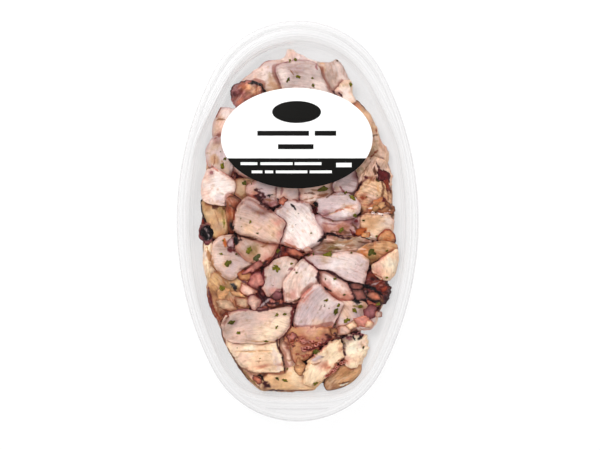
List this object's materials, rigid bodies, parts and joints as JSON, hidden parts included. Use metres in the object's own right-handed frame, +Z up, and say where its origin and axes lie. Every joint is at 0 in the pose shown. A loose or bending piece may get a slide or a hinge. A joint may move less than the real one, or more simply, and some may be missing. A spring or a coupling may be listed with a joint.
{
  "type": "tray of sliced cooked octopus",
  "caption": "Clear oval tray of thin cooked octopus slices, heaped and overlapping, shut with a clear film and a plain oval label.",
  "frame": {"origin": "on the surface that the tray stands on, under the middle of the tray's oval", "axes": "+X across the tray, +Y along it towards the end that the label is near, +Z up"},
  "size_m": [0.145, 0.24, 0.0162],
  "materials": {
    "clear_plastic": "clear thermoformed plastic, glossy",
    "label_paper": "coated paper, satin",
    "octopus_bed": "wet octopus flesh and dark skin in oil",
    "flesh_white": "white cooked flesh, wet with oil",
    "flesh_lilac": "lilac-grey cooked flesh, wet with oil",
    "flesh_peach": "peach cooked flesh, wet with oil",
    "flesh_cream": "cream cooked flesh, wet with oil",
    "flesh_tan": "tan cooked flesh, wet with oil",
    "flesh_brown": "brown cooked flesh, wet with oil",
    "octopus_skin": "dark purple cooked skin, wet with oil"
  },
  "bodies": {
    "root": {"tray": "clear_plastic", "film": "clear_plastic", "label": "label_paper", "octopus_bed": "octopus_bed", "label_slice_1": "flesh_lilac", "label_slice_2": "flesh_peach", "label_slice_3": "flesh_white", "label_slice_4": "flesh_lilac", "right_slice_1": "flesh_peach", "right_slice_2": "flesh_tan", "left_slice_1": "flesh_peach", "left_slice_2": "flesh_peach", "head_slice_1": "flesh_peach", "head_slice_2": "flesh_tan", "head_slice_3": "flesh_white", "head_slice_4": "flesh_lilac", "head_slice_5": "octopus_skin", "head_slice_6": "flesh_peach", "left_slice_3": "flesh_tan", "left_slice_4": "flesh_cream", "left_slice_5": "flesh_peach", "left_slice_6": "flesh_white", "left_slice_7": "flesh_brown", "left_slice_8": "flesh_tan", "left_slice_9": "flesh_lilac", "mid_slice_1": "flesh_lilac", "mid_slice_2": "flesh_peach", "mid_slice_3": "flesh_lilac", "mid_slice_4": "flesh_lilac", "right_slice_3": "flesh_tan", "right_slice_4": "flesh_tan", "right_slice_5": "flesh_brown", "right_slice_6": "flesh_cream", "right_slice_7": "flesh_brown", "right_slice_8": "octopus_skin", "mid_slice_5": "flesh_peach", "mid_slice_6": "flesh_white", "mid_slice_7": "flesh_tan", "right_slice_9": "flesh_tan", "right_slice_10": "flesh_white", "mid_slice_8": "flesh_lilac", "mid_slice_9": "flesh_white", "mid_slice_10": "flesh_lilac", "mid_slice_11": "flesh_white", "left_slice_10": "flesh_peach", "mid_slice_12": "flesh_white", "mid_slice_13": "flesh_lilac", "mid_slice_14": "flesh_white", "left_slice_11": "flesh_lilac", "tail_slice_1": "flesh_tan", "tail_slice_2": "flesh_peach", "tail_slice_3": "flesh_cream", "tail_slice_4": "flesh_cream", "tail_slice_5": "flesh_tan", "tail_slice_6": "flesh_peach", "tail_slice_7": "flesh_cream", "tail_slice_8": "flesh_cream", "tail_slice_9": "flesh_cream", "tail_slice_10": "flesh_lilac"}
  },
  "joints": []
}
